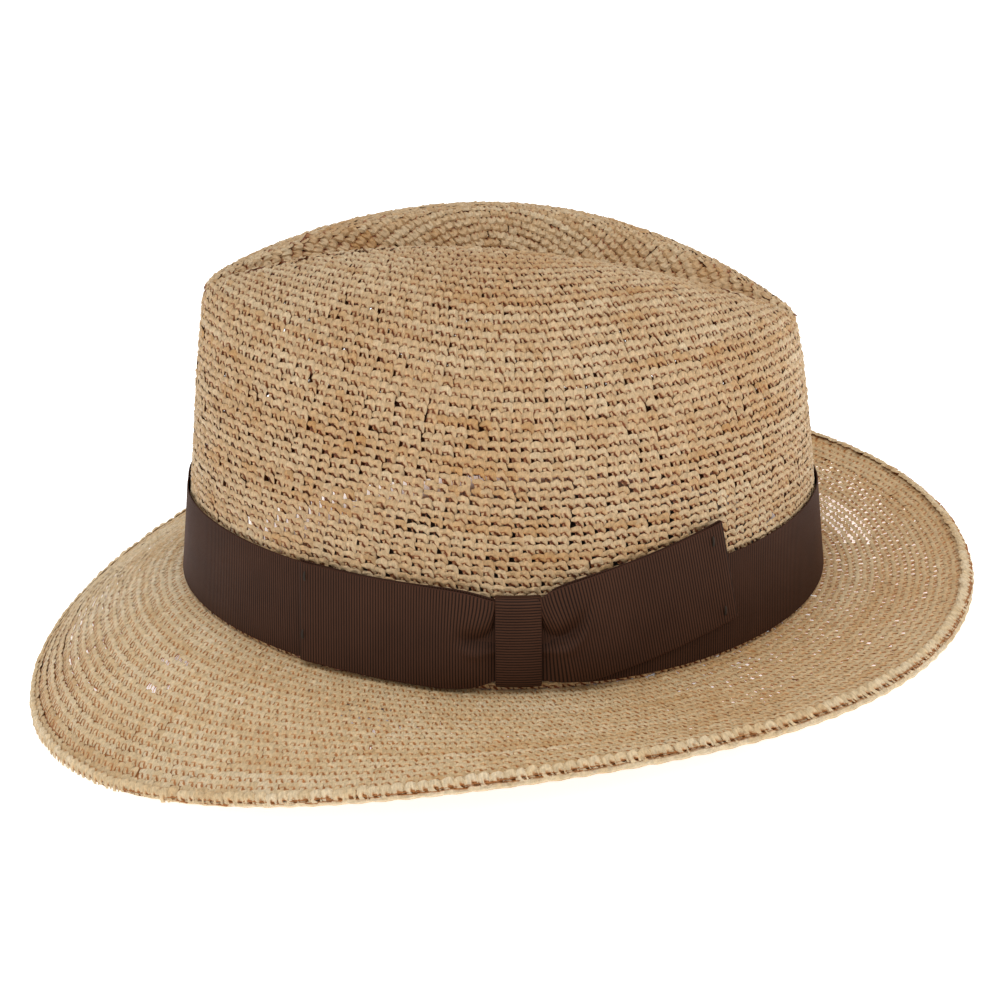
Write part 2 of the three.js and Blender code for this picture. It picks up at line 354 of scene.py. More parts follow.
def draw_stitch(name, wedge, notch, low, tip, puff, line, bar):
    left = -0.53 + (wedge or 0)
    side = -0.04 * puff
    # Each point's fourth value is its painted shade: brown in the notch, the wedge and at the feet.
    outline = [
        (-0.56, 0.06 - low, side, 0.5), (-0.53, 0.34, side, 0.3), (-0.34, 0.53, tip, 0.1),
        (0.0, 0.62, tip, 0.0), (0.30, 0.64, tip, 0.0), (0.53, 0.42, side, 0.2), (0.56, 0.06, side, 0.3),
        (0.53, -0.30, side, 0.3), (0.48, -0.74, -0.14, line), (0.30, -0.74, -0.14, line),
        (0.02 + notch, -0.42, -0.10, 1.0), (-0.01, -0.02 - low, -0.02, 0.9), (-0.02, -0.42, -0.12, 1.0),
        (0.10, -0.74, -0.14, line), (left + 0.12, -0.74, -0.14, line), (left + 0.03, -0.44, -0.04, line),
        (left, -0.12 - low / 2, -0.04, min(1.0, 0.5 + 3 * (wedge or 0))),
    ][::-1]
    face = [
        (-0.37, 0.20, 0.14, 0.0), (-0.12, 0.43, 0.16, 0.0), (0.28, 0.47, 0.16, 0.0), (0.39, 0.0, 0.15, 0.0),
        (-0.02, 0.16, 0.14, 0.0), (-0.20, -0.26, 0.12, 0.0), (0.34, -0.26, 0.12, 0.0),
        (-0.14, -0.47, 0.02, line), (0.34, -0.44, 0.03, line),
    ]
    face = [(x, y, z * puff, shade) for x, y, z, shade in face]
    if wedge is None:
        outline, face = [], []
    points = outline + face
    polygons = []
    if points:
        cut = delaunay_2d_cdt([Vector(p[:2]) for p in points], [], [list(range(len(outline)))], 1, 1e-6)
        for corners in cut[2]:
            a, b, c = (cut[0][i] for i in corners)
            polygons.append(corners if (b - a).cross(c - a) > 0 else corners[::-1])
        polygons.append(list(range(len(outline)))[::-1])
    first = len(points)
    bar_from, bar_to, bar_top, bar_height = bar
    bar_section = [(bar_top, -0.34), (bar_top - bar_height / 2, -0.1), (bar_top - bar_height, -0.34)]
    # The bar is painted dark, as shade, where it shows through the gaps.
    for x in (bar_from, bar_to):
        points = points + [(x, y, z, 0.9) for y, z in bar_section]
    sides = [(0, 1, 2), (5, 4, 3), (0, 3, 4, 1), (1, 4, 5, 2), (2, 5, 3, 0)]
    polygons += [[first + corner for corner in corners] for corners in sides]
    points = np.array(points)
    points[:, 0] -= STITCH_LEAN * points[:, 1]
    points[:, 1] += STITCH_CLIMB * points[:, 0]
    return drawn(
        name, points[:, :3], polygons, shade=points[:, 3], sideways=points[:, 0], lengthways=points[:, 1],
    )


# Works single crochet on a chart. Each point of the chart gets the stitch of its kind, turned and
# stretched to its place, a little askew and uneven. Then the straw is roughened all over, by up to
# half of its raggedness, in bumps about 1.5 mm wide.
STITCH_KINDS = ("Close", "Usual", "Open", "Pierced", "Hidden", "Tight")
RAGGED, RAGGED_GRAIN = 1.3 * mm, mm / 0.65
LEAST_ASKEW, MOST_ASKEW = (-0.16, -0.18, -0.18), (0.16, 0.18, 0.18)
LEAST_SIZE, MOST_SIZE = (0.92, 0.9, 0.75), (1.1, 1.1, 1.25)


def crochet_tree():
    number, thing = "NodeSocketFloat", "NodeSocketObject"
    kinds = {label: (thing, None) for label in STITCH_KINDS}
    tree, given = new_tree(
        "single crochet", **kinds, Unevenness=(number, 1.0), Raggedness=(number, RAGGED),
        Grain=(number, RAGGED_GRAIN), Straw=("NodeSocketMaterial", None), Seed=("NodeSocketInt", 3),
    )
    carried = {}
    for name in ("outward", "along", "size", "kind"):
        data_type = "INT" if name == "kind" else "FLOAT_VECTOR"
        carried[name] = add(tree, "GeometryNodeInputNamedAttribute", {"Name": name}, data_type=data_type)
    turned = add(
        tree, "FunctionNodeAxesToRotation",
        {"Primary Axis": carried["outward"], "Secondary Axis": carried["along"]},
        primary_axis="Z", secondary_axis="X",
    )
    askew = add(
        tree, "FunctionNodeRandomValue", {"Min": LEAST_ASKEW, "Max": MOST_ASKEW, "Seed": given["Seed"]},
        data_type="FLOAT_VECTOR",
    )
    askew = add(tree, "ShaderNodeVectorMath", {0: askew, "Scale": given["Unevenness"]}, operation="SCALE")
    jitter = add(tree, "FunctionNodeEulerToRotation", {0: askew})
    turned = add(tree, "FunctionNodeRotateRotation", {0: turned, 1: jitter}, rotation_space="LOCAL")
    uneven = add(
        tree, "FunctionNodeRandomValue", {"Min": LEAST_SIZE, "Max": MOST_SIZE, "Seed": given["Seed"]},
        data_type="FLOAT_VECTOR",
    )
    size = add(tree, "ShaderNodeVectorMath", {0: carried["size"], 1: uneven}, operation="MULTIPLY")
    worked = add(tree, "GeometryNodeJoinGeometry")
    for number_of_kind, label in enumerate(STITCH_KINDS):
        chosen = add(
            tree, "FunctionNodeCompare", {2: carried["kind"], 3: number_of_kind},
            data_type="INT", operation="EQUAL",
        )
        stitch = add(tree, "GeometryNodeObjectInfo", {"Object": given[label]}).outputs["Geometry"]
        placed = add(
            tree, "GeometryNodeInstanceOnPoints",
            {"Points": given["Geometry"], "Selection": chosen, "Instance": stitch,
             "Rotation": turned, "Scale": size},
        )
        tree.links.new(placed.outputs[0], worked.inputs[0])
    real = add(tree, "GeometryNodeRealizeInstances", {0: worked})
    place = add(tree, "GeometryNodeInputPosition")
    per_metre = add(tree, "ShaderNodeMath", {0: 1.0, 1: given["Grain"]}, operation="DIVIDE")
    ragged = add(tree, "ShaderNodeTexNoise", {"Vector": place, "Scale": per_metre, "Detail": 1.0})
    ragged = add(
        tree, "ShaderNodeVectorMath", {0: ragged.outputs["Color"], 1: (0.5, 0.5, 0.5)}, operation="SUBTRACT",
    )
    ragged = add(tree, "ShaderNodeVectorMath", {0: ragged, "Scale": given["Raggedness"]}, operation="SCALE")
    moved = add(tree, "ShaderNodeVectorMath", {0: place, 1: ragged})
    above_floor = add(tree, "ShaderNodeVectorMath", {0: moved, 1: (-1, -1, 0.0)}, operation="MAXIMUM")
    real = add(tree, "GeometryNodeSetPosition", {"Geometry": real, "Position": above_floor})
    flat = add(tree, "GeometryNodeSetShadeSmooth", {0: real, "Shade Smooth": False})
    finished = add(tree, "GeometryNodeSetMaterial", {"Geometry": flat, "Material": given["Straw"]})
    add(tree, "NodeGroupOutput", {"Geometry": finished})
    return tree


# A smooth random field on the hat, by turn and by round, whose patches have about this size.
def clouds(seed, patches_round, rounds_across):
    dice = np.random.default_rng(seed)
    waves = 30
    round_the_hat = np.rint(dice.normal(0, patches_round, waves))
    over_rounds = dice.normal(0, 1 / rounds_across, waves)
    phase = dice.uniform(0, FULL_TURN, waves)

    def field(turn, number):
        angle = np.multiply.outer(turn, round_the_hat)
        angle = angle + np.multiply.outer(number + 0 * turn, over_rounds) + phase
        return np.cos(angle).sum(-1) * math.sqrt(2 / waves)

    return field


tone_patches = clouds(11, 9, 5)
loose_patches = clouds(12, 6, 4)


# How far a stitch strays, as a share of its width and height, and how much its tone and looseness
# vary with the patch that it lies in, with its run of a few stitches and by itself. Looseness is
# about -1 where the straw is worked tight, 0 on most of the hat, and 1 where many stitches are open.
STRAY, TONE_PATCHES, RUN_STITCHES = 0.06, 0.07, (2, 8)
LOOSE_PATCHES, LOOSE_RUNS, LOOSE_STITCHES = 0.35, 0.4, 0.3
USUAL_FROM, OPEN_FROM = -0.4, 0.75
# How far the stitches lie under the measured surface, which their caps reach.
SUNK = 0.6 * mm


# How loosely runs of a few stitches are pulled up, one after another along a round.
def pull_up(count):
    runs = []
    while len(runs) < count:
        runs += [rng.normal(0, 1)] * int(rng.integers(*RUN_STITCHES))
    return np.array(runs[:count])


# Fills in the depth, tone and kind of a round's stitches.
def finish_round(a_round, number, looseness, depth):
    turn = a_round["turn"]
    count = len(turn)
    a_round["depth"] = np.full(count, depth)
    upwards = np.cross(a_round["outward"], a_round["along"])
    strayed = rng.normal(0, STRAY, (2, count)) * [a_round["width"], a_round["height"]]
    a_round["place"] = a_round["place"] - a_round["outward"] * SUNK + a_round["along"] * strayed[0][:, None]
    a_round["place"] = a_round["place"] + upwards * strayed[1][:, None]
    a_round["tone"] = np.clip(TONE_PATCHES * tone_patches(turn, number) + strand_tones(count), 0, 1)
    pull = looseness + LOOSE_PATCHES * loose_patches(turn, number)
    pull = pull + LOOSE_RUNS * pull_up(count) + rng.normal(0, LOOSE_STITCHES, count)
    a_round["kind"] = np.select([pull < USUAL_FROM, pull < OPEN_FROM], [CLOSE, USUAL], OPEN)
    return a_round


# Places near the bow where the straw stands open: the round, where it starts and ends in mm round
# the hat from the bow, and how open it is.
OPEN_PLACES = [
    (31, -12, 0, OPEN), (30, -16, 4, OPEN), (29, 1, 7, OPEN), (27, -24, -12, PIERCED),
    (27, 1, 16, PIERCED), (26, 30, 50, OPEN), (25, -30, -1, OPEN), (24, 33, 36, OPEN),
    (23, 6, 12, PIERCED), (22, 5, 9, PIERCED), (23, 43, 50, OPEN), (22, -30, -22, PIERCED),
    (21, -40, -24, PIERCED), (20, -38, -25, PIERCED), (19, 42, 47, OPEN),
]
# How loosely each round is worked, how much looser it is near the bow, and how deep its stitches
# are: numbers of rounds, and values between which the others lie.
LOOSE_BY_ROUND = (10, 14, 26, 34, 42), (-0.2, -0.1, -0.1, -0.6, -0.9)
LOOSER_BY_ROUND = (24, 34), (0.75, 0.3)
DEPTH_BY_ROUND = (30, 46), (2.2 * mm, 2.5 * mm)
LOOSE_CENTRE, LOOSE_REACH = -10 * mm, 55 * mm
# The lowest round stands out to meet the brim, and the band hides the next ones. Past the ridge the
# rounds are tight, and the ridges' front ends are rounded off: how deep, how far by turn and by share
# of the crown, and where the straw faces there.
FOOT_OUT, BAND_ROUNDS, TIGHT_FROM = 0.8 * mm, 9, 0.004
CORNER_DEPTH, CORNER_TURN, CORNER_SHARE, CORNER_FACES = 0.9 * mm, 0.2, 0.035, [0, -0.6, 0.8]
crown_rounds = []
for number in range(CROWN_ROUNDS):
    shares = round_share(FINE_TURNS, number + 0.5)
    count = round(way_round(crown, shares)[-1] / LEAST_PITCH)
    count = max(LEAST_STITCHES, min(WALL_STITCHES, count))
    a_round = chart_round(crown, shares, count, number * CROWN_DRIFT)
    turn = a_round["turn"]
    above = crown.at(turn, at_turn(turn, round_share(FINE_TURNS, number + 1.5))) - a_round["place"]
    upwards = np.cross(a_round["outward"], a_round["along"])
    a_round["height"] = np.abs(np.einsum("ij,ij->i", above, upwards))
    near_bow = np.exp(-(((a_round["distance"] - LOOSE_CENTRE) / LOOSE_REACH) ** 2))
    looseness = np.interp(number, *LOOSE_BY_ROUND) + np.interp(number, *LOOSER_BY_ROUND) * near_bow
    a_round = finish_round(a_round, number, looseness, np.interp(number, *DEPTH_BY_ROUND))
    for place, start, end, kind in OPEN_PLACES:
        there = (a_round["distance"] > start * mm) & (a_round["distance"] < end * mm) & (place == number)
        a_round["kind"][there] = kind
    past_ridge = at_turn(turn, shares - ridge_share)
    a_round["kind"][past_ridge > TIGHT_FROM] = TIGHT
    from_front = np.minimum(turn, FULL_TURN - turn)
    corner = np.exp(-((from_front / CORNER_TURN) ** 2) - (past_ridge / CORNER_SHARE) ** 2)[:, None]
    a_round["place"] = a_round["place"] - corner * CORNER_DEPTH * a_round["outward"]
    a_round["outward"] = unit(a_round["outward"] + corner * CORNER_FACES)
    if number == 0:
        a_round["kind"][:] = CLOSE
        a_round["place"] = a_round["place"] + a_round["outward"] * FOOT_OUT
    elif 1 < number < BAND_ROUNDS:
        a_round["kind"][:] = HIDDEN
    crown_rounds.append(a_round)

# The brim's rounds are pressed flatter and tighter than the crown's, and loosest at the back, where
# shade is also painted in: their tone is darker towards the back. Its outermost rounds lie on the hem
# and stand a little higher. The last line of sizes says where the brim, the hem and the edge read the
# random patches, away from the crown's rounds.
BRIM_ROUNDS, BRIM_STITCHES, BRIM_DRIFT, BRIM_START, BRIM_DEPTH = 20, 256, 0.33, 0.35, 1.0 * mm
BRIM_LOOSENESS, LOOSER_BEHIND, DARKER_BEHIND = -1.8, 1.9, 0.4
HEM_ROUNDS, HEM_RISE, HEM_LOOSENESS, HEM_DEPTH = 4, 0.1 * mm, -2.5, 1.3 * mm
BRIM_PATCHES, HEM_PATCHES, EDGE_PATCHES = 100, 130, 160
brim_rounds = []
for number in range(BRIM_ROUNDS):
    share = (number + BRIM_START) / BRIM_ROUNDS
    a_round = chart_round(brim_top, share, BRIM_STITCHES, -number * BRIM_DRIFT)
    a_round["height"] = brim_width(a_round["turn"]) / BRIM_ROUNDS
    behind = (1 - np.cos(a_round["turn"])) / 2
    looseness = LOOSER_BEHIND * behind**3 + BRIM_LOOSENESS
    if number >= BRIM_ROUNDS - HEM_ROUNDS:
        a_round["place"] = a_round["place"] + a_round["outward"] * HEM_RISE
        looseness = HEM_LOOSENESS
    a_round = finish_round(a_round, number + BRIM_PATCHES, looseness, BRIM_DEPTH)
    # Painted shade: the straw's tone darkens towards the back of the brim.
    a_round["tone"] = a_round["tone"] * (1 - DARKER_BEHIND * behind)
    brim_rounds.append(a_round)

# Places on the brim where light falls through: the round, the turns in degrees at which it starts
# and ends, and how open it is.
BRIM_OPEN_PLACES = [
    (3, 186, 204, OPEN), (4, 184, 207, PIERCED), (5, 183, 210, PIERCED), (6, 185, 208, PIERCED),
    (7, 182, 206, PIERCED), (8, 184, 204, PIERCED), (9, 186, 201, OPEN), (10, 188, 200, OPEN),
    (2, 126, 131, PIERCED), (3, 127, 133, OPEN), (3, 117, 119, PIERCED), (9, 33, 35, PIERCED),
    (10, 30, 32, PIERCED), (7, 27, 30, PIERCED), (6, 29, 33, PIERCED),
]
for place, start, end, kind in BRIM_OPEN_PLACES:
    degrees = np.degrees(brim_rounds[place]["turn"])
    brim_rounds[place]["kind"][(degrees > start) & (degrees < end)] = kind

# The brim's outermost rounds are turned under as a hem, so they lie there a second time.
HEM_THICKNESS, HEM_SHIFT = 3.6 * mm, 0.3
hem_rounds = []
for number in range(BRIM_ROUNDS - HEM_ROUNDS, BRIM_ROUNDS):
    a_round = chart_round(brim_top, (number + 0.5) / BRIM_ROUNDS, BRIM_STITCHES, HEM_SHIFT)
    a_round["height"] = brim_width(a_round["turn"]) / BRIM_ROUNDS
    a_round["place"] = a_round["place"] - a_round["outward"] * (HEM_THICKNESS - 2 * SUNK)
    a_round["outward"], a_round["along"] = -a_round["outward"], -a_round["along"]
    hem_rounds.append(finish_round(a_round, number + HEM_PATCHES, HEM_LOOSENESS, HEM_DEPTH))

# The edge is a last round of long stitches worked over the fold, from the top down to a roll. They
# stand up from it a little and lean over it.
EDGE_STITCHES, EDGE_HEIGHT, EDGE_DEPTH, EDGE_LOOSENESS = 264, 3.1 * mm, 2.6 * mm, -0.2
EDGE_UP, EDGE_LEAN = 0.3 * mm, 0.6
edge_round = chart_round(brim_top, 1.0, EDGE_STITCHES, 0.0)
over = unit(stand_turned(level_out(edge_round["turn"])))
edge_round["place"] = edge_round["place"] + edge_round["outward"] * EDGE_UP - over * EDGE_UP
edge_round["outward"] = unit(over * EDGE_LEAN + edge_round["outward"])
edge_round["height"] = np.full(EDGE_STITCHES, EDGE_HEIGHT)
edge_round = finish_round(edge_round, EDGE_PATCHES, EDGE_LOOSENESS, EDGE_DEPTH)


# Raffia, dyed only by the sun: a dry leaf with a soft satin face and fine grain along each
# strand. Where strands lie over each other, and in the gaps and on the bars behind them, shade is
# painted in: by the stitch's shade the straw turns a warm brown, deep, and at its darkest a near
# black, deepest. Flecks are about 1.1 mm wide, and the grain is counted in a stitch and changes with
# its tone. The inputs 0, 6 and 7 of a Mix node are its factor and its two colours.
FLECK, GRAIN_IN_STITCH, GRAIN_BY_TONE, GRAIN_RELIEF = mm / 0.9, (6.5, 1.3, 1.0), 90.0, 0.2 * mm


def raffia(name, pale, usual, dark, deep, deepest):
    material, tree, shader = new_material(name, Roughness=0.55, IOR=1.47)
    carried = {}
    for key in ("tone", "lengthways", "sideways", "shade"):
        carried[key] = add(tree, "ShaderNodeAttribute", attribute_name=key).outputs["Fac"]
    ramp = add(tree, "ShaderNodeValToRGB", {"Fac": carried["tone"]})
    stops = ramp.color_ramp.elements
    stops[0].position, stops[0].color = 0.05, colour(dark)
    stops[1].position, stops[1].color = 0.95, colour(pale)
    stops.new(0.5).color = colour(usual)
    # Painted shade: the straw turns to the deep brown as the shade rises, then to the deepest near black.
    inner = add(tree, "ShaderNodeMapRange", {"Value": carried["shade"], "From Min": 0.4, "From Max": 0.9})
    laid = add(tree, "ShaderNodeMix", {0: inner, 6: ramp.outputs["Color"], 7: colour(deep)}, data_type="RGBA")
    inmost = add(tree, "ShaderNodeMapRange", {"Value": carried["shade"], "From Min": 0.8, "From Max": 1.0})
    laid = add(tree, "ShaderNodeMix", {0: inmost, 6: laid.outputs[2], 7: colour(deepest)}, data_type="RGBA")
    place = add(tree, "ShaderNodeTexCoord").outputs["Object"]
    fleck = add(tree, "ShaderNodeTexNoise", {"Vector": place, "Scale": 1 / FLECK, "Detail": 3.0})
    each = add(tree, "ShaderNodeMath", {0: carried["tone"], 1: GRAIN_BY_TONE}, operation="MULTIPLY")
    strand = add(
        tree, "ShaderNodeCombineXYZ", {"X": carried["sideways"], "Y": carried["lengthways"], "Z": each},
    )
    strand = add(tree, "ShaderNodeVectorMath", {0: strand, 1: GRAIN_IN_STITCH}, operation="MULTIPLY")
    grain = add(tree, "ShaderNodeTexNoise", {"Vector": strand, "Scale": 1.0, "Detail": 2.0})
    mixed = add(tree, "ShaderNodeMath", {0: grain, 1: fleck}, operation="ADD")
    value = add(
        tree, "ShaderNodeMapRange",
        {"Value": mixed, "From Min": 0.7, "From Max": 1.3, "To Min": 0.74, "To Max": 1.2},
    )
    toned = add(tree, "ShaderNodeHueSaturation", {"Color": laid.outputs[2], "Value": value})
    tree.links.new(toned.outputs[0], shader.inputs["Base Color"])
    bump = add(tree, "ShaderNodeBump", {"Height": mixed, "Strength": 0.8, "Distance": GRAIN_RELIEF})
    tree.links.new(bump.outputs[0], shader.inputs["Normal"])
    return material


straw = raffia(
    "natural raffia, satin", pale=0xD6BF9B, usual=0xC8A980, dark=0xB98C56, deep=0x934D17, deepest=0x471E07,
)
pressed_straw = raffia(
    "natural raffia, pressed flat", pale=0xE1CDAC, usual=0xD4B98F, dark=0xC19966, deep=0xBA7C42,
    deepest=0x985A2A,
)
crochet = crochet_tree()
# The columns are the stitch's wedge, notch, low, tip, puff and line, the painted shade at its feet, and its
# bar.
stitches = {
    "Close": draw_stitch("close stitch", 0.12, 0.13, 0.04, 0.0, 1.2, 0.5, (-0.56, 0.54, 0.3, 1.2)),
    "Usual": draw_stitch("usual stitch", 0.22, 0.14, 0.0, 0.05, 1.1, 0.5, (-0.2, 0.44, 0.1, 0.9)),
    "Open": draw_stitch("open stitch", 0.32, 0.16, 0.0, 0.05, 1.1, 0.55, (-0.1, 0.42, 0.05, 0.9)),
    "Pierced": draw_stitch("pierced stitch", 0.38, 0.22, 0.0, 0.05, 1.0, 0.5, (0.1, 0.34, 0.5, 0.9)),
    "Hidden": draw_stitch("hidden stitch", None, 0, 0, 0, 1.0, 0, (-0.52, 0.52, 0.5, 0.9)),
    "Tight": draw_stitch("tight stitch", 0.03, 0.04, 0.3, -0.05, 1.5, 0.75, (-0.56, 0.54, 0.3, 1.2)),
}
pressed = draw_stitch("pressed stitch", 0.09, 0.13, 0.06, -0.08, 1.1, 0.25, (-0.6, 0.6, 0.35, 1.3))
edging = draw_stitch("edge stitch", 0.05, 0.24, 0.24, -0.1, 1.5, 0.1, (-0.3, 0.3, 0.2, 0.5))
pressed_stitches = {**stitches, "Close": pressed}
edge_stitches = {**stitches, "Close": edging, "Usual": edging, "Open": edging}
CROWN_UNEVENNESS, BRIM_UNEVENNESS, EDGE_UNEVENNESS = 0.78, 0.35, 0.4


def crocheted(name, rounds, material, unevenness, drawn_stitches):
    piece = run_tree(
        chart_object(name, rounds), crochet, Straw=material, Unevenness=unevenness,
        Raggedness=RAGGED * unevenness, **drawn_stitches,
    )
    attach(piece, "root")
    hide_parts("straw_hat")
    return piece


# The crown and the brim are parted between rounds, so that each piece stays light.
WALL_FROM, TOP_FROM, OUTER_FROM = 24, 42, 10
CROWN_PIECES = [
    ("crown_foot", crown_rounds[:WALL_FROM]), ("crown_wall", crown_rounds[WALL_FROM:TOP_FROM]),
    ("crown_top", crown_rounds[TOP_FROM:]),
]
BRIM_PIECES = [
    ("brim_inner", brim_rounds[:OUTER_FROM]), ("brim_outer", brim_rounds[OUTER_FROM:]),
    ("brim_hem", hem_rounds),
]
for name, rounds in CROWN_PIECES:
    crocheted(name, rounds, straw, CROWN_UNEVENNESS, stitches)
for name, rounds in BRIM_PIECES:
    crocheted(name, rounds, pressed_straw, BRIM_UNEVENNESS, pressed_stitches)
crocheted("brim_edge", [edge_round], pressed_straw, EDGE_UNEVENNESS, edge_stitches)


# The roll under the edge round: the fold's straw, twisted into a cord that lies along the rim. The
# faces of its skin lie between rings of points, each joined to the next.
def between_rings(first, rings, sides, closed=False):
    faces = []
    for i in range(rings if closed else rings - 1):
        near, far = first + i * sides, first + (i + 1) % rings * sides
        for j in range(sides):
            beside = (j + 1) % sides
            faces.append([near + j, near + beside, far + beside, far + j])
    return faces


ROLL_RADIUS, ROLL_STEPS, ROLL_SIDES, TWIST_STEPS = 1.15 * mm, 3 * EDGE_STITCHES, 8, 6
ROLL_DROP, ROLL_OUT, ROLL_SWELL, ROLL_UNEVEN = 2.5 * mm, 0.1 * mm, 0.13, 0.03
# How much shade is painted into the grooves of the cord's twist, and how much paler its straw is.
ROLL_SHADE, ROLL_PALER = 0.35, 0.15
roll_turn = np.arange(ROLL_STEPS) / ROLL_STEPS * FULL_TURN
rim = brim_top.at(roll_turn, 1.0)
rim_out = unit(brim_top.at(roll_turn, 1.0, brim_top.out))
rim_over = unit(stand_turned(level_out(roll_turn)))
roll_middle = rim - rim_out * ROLL_DROP + rim_over * ROLL_OUT
around_roll = np.arange(ROLL_SIDES) / ROLL_SIDES * FULL_TURN
twist = np.arange(ROLL_STEPS)[:, None] * FULL_TURN / TWIST_STEPS + around_roll[None, :]
swell = 1 + ROLL_SWELL * np.cos(twist) + rng.normal(0, ROLL_UNEVEN, (ROLL_STEPS, ROLL_SIDES))
spokes = rim_over[:, None, :] * np.cos(around_roll)[None, :, None]
spokes = spokes + rim_out[:, None, :] * np.sin(around_roll)[None, :, None]
roll_points = roll_middle[:, None, :] + spokes * (ROLL_RADIUS * swell)[..., None]
roll_points[..., 2] = np.maximum(roll_points[..., 2], 0.0)
# The roll's shade paints the grooves of its twist darker.
roll = drawn(
    "brim_roll", roll_points.reshape(-1, 3), between_rings(0, ROLL_STEPS, ROLL_SIDES, closed=True),
    shade=ROLL_SHADE * (0.5 - 0.5 * np.cos(twist)), sideways=twist / 4, lengthways=0 * twist,
    tone=np.repeat(np.clip(strand_tones(ROLL_STEPS) + ROLL_PALER, 0, 1), ROLL_SIDES),
)
roll.data.materials.append(pressed_straw)
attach(roll, "root")
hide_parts("straw_hat")
for stitch in [*stitches.values(), pressed, edging]:
    bpy.data.objects.remove(stitch)

# The band is a dark brown grosgrain ribbon, woven with ribs across its width. It runs round the foot
# of the crown and is sewn on. The bow hides where its ends meet.
RIBBON_WIDTH, RIBBON_LOW, RIBBON_THICKNESS = 30.6 * mm, 0.9 * mm, 0.5 * mm
RIB_PITCH, RIB_COLUMNS, RIB_DEPTH = 0.84 * mm, 3, 0.15 * mm
SELVEDGE, SELVEDGE_THICKNESS = 0.98, 0.6
COLUMN = RIB_PITCH / RIB_COLUMNS
BOW_TURN = math.radians(89.5)
foot_length = way_along(head_line(ALL_TURNS))
bow_at = np.interp(BOW_TURN, ALL_TURNS, foot_length)


# A place on the crown's wall, by its distance round the head opening from the bow's middle, to the
# rear if positive, its height over the head opening and its distance out of the straw.
def on_wall(distance, height, out):
    distance, height, out = np.broadcast_arrays(distance, height, out)
    turn = np.interp((bow_at + distance) % foot_length[-1], foot_length, ALL_TURNS)
    rise = height / (ridge(turn)[..., 2] - head_line(turn)[..., 2])
    return stand(wall(turn, rise) + level_out(turn) * out[..., None])


# The keeper pinches the ribbons: their height at a distance from it, as a share of their width.
PINCH, PINCH_REACH = 0.265, 12 * mm


def pinched(distance):
    return 1 - PINCH * np.exp(-((distance / PINCH_REACH) ** 2))


# The ribs of a woven ribbon: a groove between every two, which ends short of the selvedges.
def ribs_tree():
    number = "NodeSocketFloat"
    tree, given = new_tree(
        "grosgrain ribs", Depth=(number, RIB_DEPTH), Selvedge=(number, SELVEDGE),
        Ribbon=("NodeSocketMaterial", None),
    )
    length = add(tree, "GeometryNodeInputNamedAttribute", {"Name": "lengthways"}, data_type="FLOAT")
    side = add(tree, "GeometryNodeInputNamedAttribute", {"Name": "sideways"}, data_type="FLOAT")
    turns = add(tree, "ShaderNodeMath", {0: length, 1: FULL_TURN}, operation="MULTIPLY")
    wave = add(tree, "ShaderNodeMath", {0: turns}, operation="COSINE")
    groove = add(tree, "ShaderNodeMath", {0: wave, 1: -0.5, 2: -0.5}, operation="MULTIPLY_ADD")
    side = add(tree, "ShaderNodeMath", {0: side}, operation="ABSOLUTE")
    inside = add(tree, "ShaderNodeMath", {0: side, 1: given["Selvedge"]}, operation="LESS_THAN")
    groove = add(tree, "ShaderNodeMath", {0: groove, 1: inside}, operation="MULTIPLY")
    depth = add(tree, "ShaderNodeMath", {0: groove, 1: given["Depth"]}, operation="MULTIPLY")
    normal = add(tree, "GeometryNodeInputNormal")
    offset = add(tree, "ShaderNodeVectorMath", {0: normal, "Scale": depth}, operation="SCALE")
    ribbed = add(tree, "GeometryNodeSetPosition", {"Geometry": given["Geometry"], "Offset": offset})
    smooth = add(tree, "GeometryNodeSetShadeSmooth", {0: ribbed})
    finished = add(tree, "GeometryNodeSetMaterial", {"Geometry": smooth, "Material": given["Ribbon"]})
    add(tree, "NodeGroupOutput", {"Geometry": finished})
    return tree


# Rayon and cotton grosgrain: dark brown, with the slight sheen of its rayon warp on the ribs. The
# grooves between the ribs are painted a darker brown, a painted shade. The selvedge is woven tighter
# and looks a little darker. Wear varies over about 14 mm, and threads are about 0.4 mm thick.
WEAR, WARP_THREAD, THREAD_RELIEF = mm / 0.07, mm / 2.6, 0.1 * mm


